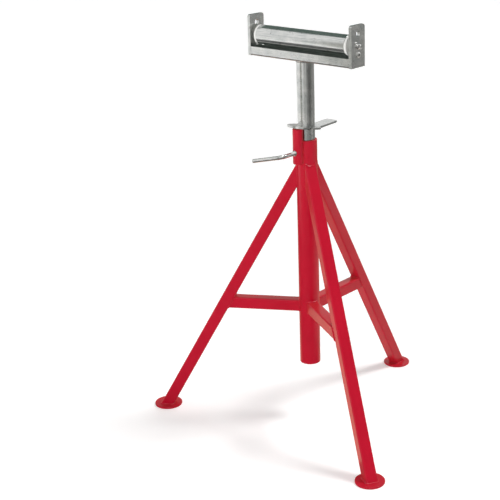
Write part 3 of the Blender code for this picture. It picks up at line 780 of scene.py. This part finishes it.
def buildRoller(s):
    low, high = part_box("roller_shell")
    bm = roundTube((high.y - low.y) / 2, s["wall"], low.x, high.x)
    roundEdges(bm, s["round"])
    place(bm, Matrix.Translation((0, *middle("axle").yz)) @ lying())
    addPiece("zinc_roller", bm, "roller", zincRoller, "zinc_plate", "roller_shell")


capSettings = {
    "spigot": 0.018, "flange": 0.0061, "nose": 0.0130, "sleeve": 0.0082, "round": 0.0006, "fit": 0.0003,
}


def buildEndCap(side, direction, s):
    low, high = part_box("end_cap_" + side)
    raceLow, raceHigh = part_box("outer_race_" + side)
    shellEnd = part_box("roller_shell")[1].x
    radius = (high.y - low.y) / 2
    length = max(high.x, -low.x) - shellEnd
    spigot = (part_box("roller_shell")[1].y - middle("axle").y) - rollerSettings["wall"] - s["fit"]
    seat = (raceHigh.y - raceLow.y) / 2 + s["fit"]           # the bearing sits in the cap from inside
    shoulder = max(raceHigh.x, -raceLow.x) - shellEnd + s["fit"]
    profile = [(s["nose"], length), (radius, s["flange"]), (radius, s["fit"]), (spigot, s["fit"]),
               (spigot, -s["spigot"]), (seat, -s["spigot"]), (seat, shoulder), (s["sleeve"], shoulder),
               (s["sleeve"], length)]
    bm = lathe(profile)
    roundEdges(bm, s["round"], segments=2)
    place(bm, Matrix.Translation((direction * shellEnd, *middle("axle").yz)) @ lying(direction))
    addPiece("white_end_cap_" + side, bm, "roller", whitePlastic, "white_plastic", "end_cap_" + side)


buildRoller(rollerSettings)
for sideName, sideSign in sides.items():
    buildEndCap(sideName, sideSign, capSettings)
print("roller made")


# lock plate and clamp handle

lockSettings = {
    "thickness": 0.0050, "hole": 0.02175, "radius": 0.03525, "straight": 0.0170, "round": 0.0006,
    "tongueHalf": 0.0170, "tongue": 0.0694, "corner": 0.0050, "cornerSegments": 6,
    "rise": 12, "bendRadius": 0.014, "bendSteps": 5, "tilt": 10.3225, "holeY": 0.023868,
    "rimSegments": 128, "holeSegments": 96,
}


def drawOut(bm, edges):
    drawn = bmesh.ops.extrude_edge_only(bm, edges=edges)["geom"]
    newVerts = vertsOf(drawn)
    newEdges = [g for g in drawn
                if isinstance(g, bmesh.types.BMEdge) and all(v in newVerts for v in g.verts)]
    return newEdges, newVerts


def buildLockPlate(s):
    # a sheet in its own frame at the fulcrum, Y towards the tongue
    bm = bmesh.new()
    centre = Matrix.Translation((0, s["holeY"], 0))
    bmesh.ops.create_circle(bm, cap_ends=False, segments=s["rimSegments"], radius=s["radius"], matrix=centre)
    edge = s["holeY"] + math.sqrt(s["radius"] ** 2 - s["tongueHalf"] ** 2)
    front = [v for v in bm.verts if v.co.y < s["holeY"] - tiny]
    bmesh.ops.translate(bm, verts=front, vec=(0, -s["straight"], 0))
    rear = sorted((v for v in bm.verts if v.co.y > edge), key=lambda v: v.co.x)
    rear[0].co = (-s["tongueHalf"], edge, 0)
    rear[-1].co = (s["tongueHalf"], edge, 0)
    bmesh.ops.dissolve_verts(bm, verts=rear[1:-1])
    bmesh.ops.create_circle(bm, cap_ends=False, segments=s["holeSegments"], radius=s["hole"], matrix=centre)
    bmesh.ops.triangle_fill(bm, use_beauty=True, use_dissolve=False, edges=bm.edges[:])
    # the tongue is drawn out of the rear edge, round its bend
    end = [e for e in bm.edges if all(abs(v.co.y - edge) < tiny for v in e.verts)]
    bend = Matrix.Rotation(math.radians(s["rise"] / s["bendSteps"]), 3, "X")
    for step in range(s["bendSteps"]):
        end, verts = drawOut(bm, end)
        bmesh.ops.rotate(bm, cent=(0, edge, s["bendRadius"]), matrix=bend, verts=verts)
    rise = math.radians(s["rise"])
    length = s["tongue"] - s["bendRadius"] * math.sin(rise)
    end, verts = drawOut(bm, end)
    bmesh.ops.translate(bm, verts=verts, vec=(0, length * math.cos(rise), length * math.sin(rise)))
    bevel(bm, verts, s["corner"], s["cornerSegments"], "VERTICES")
    bmesh.ops.recalc_face_normals(bm, faces=bm.faces)
    flat = max(bm.faces, key=lambda f: f.calc_area())
    thickness = -s["thickness"] if flat.normal.z > 0 else s["thickness"]
    bmesh.ops.solidify(bm, geom=bm.faces[:], thickness=thickness)
    bmesh.ops.recalc_face_normals(bm, faces=bm.faces)
    roundEdges(bm, s["round"], segments=2, sharp=40)
    place(bm, Matrix.Translation(fulcrum) @ Matrix.Rotation(math.radians(-s["tilt"]), 4, "X"))
    addPiece("zinc_lock_plate", bm, "lock_plate", zincFlat, "zinc_plate", "lock_plate")


clampSettings = {
    "radius": 0.0050, "stem": 0.0442, "arm": 0.0952, "bend": 0.013, "bendSteps": 16, "droop": 14.4,
    "chamfer": 0.0008, "sides": 8,
    "thread": 0.017, "root": 0.0042, "crest": 0.99, "pitch": 0.0015, "threadSteps": 24, "merge": 0.00001,
    "tipInset": 0.0006, "tipSlope": 0.0012, "clear": 0.0003,
}


def threadedEnd(outer, tip, s):
    # one pitch of the thread, wound along the bar, round a core
    bm = bmesh.new()
    profile = [(s["root"], 0), (s["radius"] * s["crest"], s["pitch"] / 2), (s["root"], s["pitch"])]
    verts = [bm.verts.new((radius, outer + along, 0)) for radius, along in profile]
    edges = [bm.edges.new(pair) for pair in zip(verts, verts[1:])]
    turns = int((tip - outer) / s["pitch"]) - 1
    steps = s["threadSteps"]
    bmesh.ops.spin(bm, geom=verts + edges, cent=(0, 0, 0), axis=(0, 1, 0), dvec=(0, s["pitch"] / steps, 0),
                   angle=math.tau * turns, steps=steps * turns, use_merge=False)
    bmesh.ops.remove_doubles(bm, verts=bm.verts, dist=s["merge"])
    core = lathe([(0, tip), (s["root"] - s["tipInset"], tip), (s["root"], tip - s["tipSlope"]),
                  (s["root"], outer), (0, outer)], steps)
    join(bm, place(core, Matrix.Rotation(math.radians(-90), 4, "X")))
    bmesh.ops.recalc_face_normals(bm, faces=bm.faces)
    return bm


def buildClampHandle(s):
    pivot = joints["clamp_turn"]["pos_m"]
    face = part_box("fulcrum_boss")[0].y                       # front of the boss
    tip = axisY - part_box("post_tube")[1].x - s["clear"]      # just clear of the post
    droop = math.radians(s["droop"])
    across = Vector((-math.cos(droop), 0, -math.sin(droop)))
    start = Vector((0, face - s["thread"], pivot[2]))
    armY = face - s["stem"]
    taper = 1 - s["chamfer"] / s["radius"]
    strand = [(start, taper), (start - Vector((0, s["chamfer"], 0)), 1)]
    for i in range(s["bendSteps"] + 1):
        angle = math.radians(90 * i / s["bendSteps"])
        onStem = Vector((0, armY + s["bend"] * (1 - math.sin(angle)), pivot[2]))
        strand.append((onStem + across * (s["bend"] * (1 - math.cos(angle))), 1))
    end = Vector((0, armY, pivot[2])) + across * s["arm"]
    strand += [(end - across * s["chamfer"], 1), (end, taper)]
    bm = bmesh.new()
    bm.from_mesh(meshFromCurve("clamp_bar", [strand], s["radius"], sides=s["sides"]))
    screw = threadedEnd(start.y + s["chamfer"], tip, s)
    join(bm, place(screw, Matrix.Translation((0, 0, pivot[2]))))
    addPiece("zinc_clamp_handle", bm, "clamp_handle", zincAlong, "zinc_plate", "clamp_handle")


buildLockPlate(lockSettings)
buildClampHandle(clampSettings)
print("lock plate and clamp handle made")


# large faces keep their own direction, so that flat metal reflects flat
for piece in dressed:
    piece.modifiers.new("flat_faces", "WEIGHTED_NORMAL").keep_sharp = True
print("faces evened:", len(dressed), "pieces")


# bearings and the plug keep their solids
bearingKinds = ("inner_race", "outer_race", "ball_cage")
keptFinish = {f"{kind}_{side}": steel for kind in bearingKinds for side in sides}
keptFinish["post_end_plug"] = blackPlastic
for node, material in keptFinish.items():
    finishes = frame["nodes"][node].data.materials
    finishes.clear()
    finishes.append(material)
print("kept solids finished:", len(keptFinish))


# studio

studioSettings = {
    "floor": "#FBFBFA", "floorSize": 60, "floorSides": 64, "floorDrop": 0.0002, "fill": 0.30,
    # glow of the floor near the stand and far from it, which evens out the front box's fall-off
    "nearLift": 0.24, "farLift": 0.31, "near": 0.4, "far": 2.2,
    # degrees from +X, metres. The front box only fills in, with no shadow or glint; the spark only glints
    "aim": 0.6,
    "lamps": {
        "soft_sun": {"kind": "SUN", "gives": "all", "power": 1.6, "spread": 18,
                     "height": 58, "turn": 49, "away": 4},
        "spark": {"kind": "SUN", "gives": "glints", "power": 1.0, "spread": 4,
                  "height": 86, "turn": -50, "away": 4},
        "front_box": {"kind": "AREA", "gives": "fill", "power": 24.5, "spread": 1.2,
                      "height": 18, "turn": -80, "away": 2.2},
    },
    # cards round the stand that only its reflections see
    "cards": {
        "right": {"turn": 5, "distance": 1.8, "width": 3.4, "span": (0.24, 2.2), "shade": "#868684"},
        "right_foot": {"turn": 5, "distance": 1.8, "width": 3.4, "span": (0, 0.24), "shade": "#B4B4B2"},
        "far_right": {"turn": 82, "distance": 1.8, "width": 3.0, "span": (0.2, 0.8), "shade": "#9A9A98"},
        "low_right": {"turn": 82, "distance": 1.8, "width": 3.0, "span": (0, 0.2), "shade": "#383838"},
        "dark_edge": {"turn": 5, "distance": 1.7, "width": 1.2, "span": (0.36, 0.54), "shade": "#1C1C1C"},
        "front": {"turn": -57, "distance": 2.2, "width": 1.5, "span": (0, 1.2), "shade": "#C6C6C4"},
        "side": {"turn": -112, "distance": 1.2, "width": 0.56, "span": (0, 2.2), "shade": "#B2B2AC"},
        "behind_low": {"turn": 128, "distance": 0.8, "width": 0.9, "span": (0.66, 0.80), "shade": "#A8A8A4"},
        "behind_top": {"turn": 128, "distance": 0.8, "width": 0.9, "span": (1.05, 1.26), "shade": "#64736D"},
        "back": {"turn": 135, "distance": 2.4, "width": 3.4, "span": (1.7, 3.4), "shade": "#64736D"},
    },
    # level cards: overhead at the left, and mats that keep the floor's white out of the gloss in front
    "levels": {
        "left_ceiling": {"x": (-6.0, -1.0), "y": (-0.1, 6.0), "height": 3.4, "turn": 0, "shade": "#64736D"},
        "mat": {"x": (-2.1, 2.38), "y": (-1.6, 1.6), "height": 0.002, "turn": -52, "shade": "#6C6C6C"},
        "pale_mat": {"x": (-2.1, -0.12), "y": (-0.3, 1.6), "height": 0.003, "turn": -52, "shade": "#DCD0C6"},
        "pale_right": {"x": (-0.12, 0.5), "y": (0.45, 1.6), "height": 0.003, "turn": -52,
                       "shade": "#DCD0C6"},
        "warm_strip": {"x": (-0.26, 1.9), "y": (0.03, 0.17), "height": 0.004, "turn": 170,
                       "shade": "#FFD4BC", "strength": 1.5},
    },
}


def addStage(name, bm, material):
    mesh = toMesh(name, bm)
    mesh.materials.append(material)
    thing = addObject(name, mesh)
    return thing


def addCard(name, s, matrix):
    # a unit square card that only the stand's reflections see
    material = bpy.data.materials.new("card_" + name)
    material.use_nodes = True
    tree = material.node_tree
    glow = addNode(tree, "ShaderNodeEmission",
                   {"Color": hexColour(s["shade"]), "Strength": s.get("strength", 1)})
    wire(tree, tree.nodes["Material Output"], links={"Surface": glow.outputs[0]})
    bm = bmesh.new()
    bmesh.ops.create_grid(bm, x_segments=1, y_segments=1, size=0.5)
    card = addStage("card_" + name, place(bm, matrix), material)
    card.visible_camera = card.visible_diffuse = card.visible_transmission = card.visible_shadow = False


def addLamp(name, s, aim):
    data = bpy.data.lights.new(name, s["kind"])
    data.energy = s["power"]
    if s["kind"] == "SUN":
        data.angle = math.radians(s["spread"])
    else:
        data.size = s["spread"]
    data.use_shadow = s["gives"] != "fill"
    lamp = addObject(name, data)
    lamp.visible_glossy = s["gives"] != "fill"
    lamp.visible_diffuse = s["gives"] != "glints"
    turn = Matrix.Rotation(math.radians(s["turn"]), 4, "Z")
    tip = Matrix.Rotation(math.radians(90 - s["height"]), 4, "Y")
    out = Matrix.Translation((0, 0, s["away"]))
    lamp.matrix_world = Matrix.Translation((0, axisY, aim)) @ turn @ tip @ out


def shownRays(tree):
    # 1 for rays that show the background: to the camera, in gloss and through glass
    path = addNode(tree, "ShaderNodeLightPath").outputs
    seen = addNode(tree, "ShaderNodeMath", links={0: path["Is Camera Ray"], 1: path["Is Glossy Ray"]},
                   operation="MAXIMUM")
    return addNode(tree, "ShaderNodeMath", links={0: seen.outputs[0], 1: path["Is Transmission Ray"]},
                   operation="MAXIMUM").outputs[0]


def addFloor(s):
    # matt white paper, lifted to the background's white
    paper, tree, shader, surface = startMaterial("pale_paper_floor")
    away = addNode(tree, "ShaderNodeVectorMath", links={0: surface["Vector"]}, operation="LENGTH")
    even = addNode(tree, "ShaderNodeMapRange",
                   {"From Min": s["near"], "From Max": s["far"],
                    "To Min": s["nearLift"], "To Max": s["farLift"]},
                   {"Value": away.outputs["Value"]})
    lift = addNode(tree, "ShaderNodeMath", links={0: shownRays(tree), 1: even.outputs[0]},
                   operation="MULTIPLY")
    wire(tree, shader,
         {"Base Color": hexColour(s["floor"]), "Roughness": 1, "Specular IOR Level": 0,
          "Emission Color": white},
         {"Emission Strength": lift.outputs[0]})
    bm = bmesh.new()
    bmesh.ops.create_circle(bm, cap_ends=True, segments=s["floorSides"], radius=s["floorSize"])
    addStage("floor", bm, paper).location.z = -s["floorDrop"]


def buildStudio(s):
    scene = bpy.context.scene
    scene.view_settings.view_transform = "Standard"
    world = bpy.data.worlds.new("studio")
    scene.world = world
    world.use_nodes = True
    tree = world.node_tree
    shine = addNode(tree, "ShaderNodeMapRange", {"To Min": s["fill"], "To Max": 1},
                    {"Value": shownRays(tree)})
    wire(tree, tree.nodes["Background"], {"Color": white}, {"Strength": shine.outputs[0]})
    for name, lamp in s["lamps"].items():
        addLamp(name, lamp, s["aim"])
    addFloor(s)
    for name, card in s["cards"].items():
        low, high = card["span"]
        turn = onAxis @ Matrix.Rotation(math.radians(card["turn"]), 4, "Z")
        out = Matrix.Translation((card["distance"], 0, low + (high - low) / 2))
        addCard(name, card, turn @ out @ lying() @ Matrix.Diagonal((high - low, card["width"], 1, 1)))
    for name, level in s["levels"].items():
        (x0, x1), (y0, y1) = level["x"], level["y"]
        turn = onAxis @ Matrix.Rotation(math.radians(level["turn"]), 4, "Z")
        centre = Matrix.Translation(((x0 + x1) / 2, (y0 + y1) / 2, level["height"]))
        addCard(name, level, turn @ centre @ Matrix.Diagonal((x1 - x0, y1 - y0, 1, 1)))


addCamera(cameraSettings)
buildStudio(studioSettings)
print("studio made")
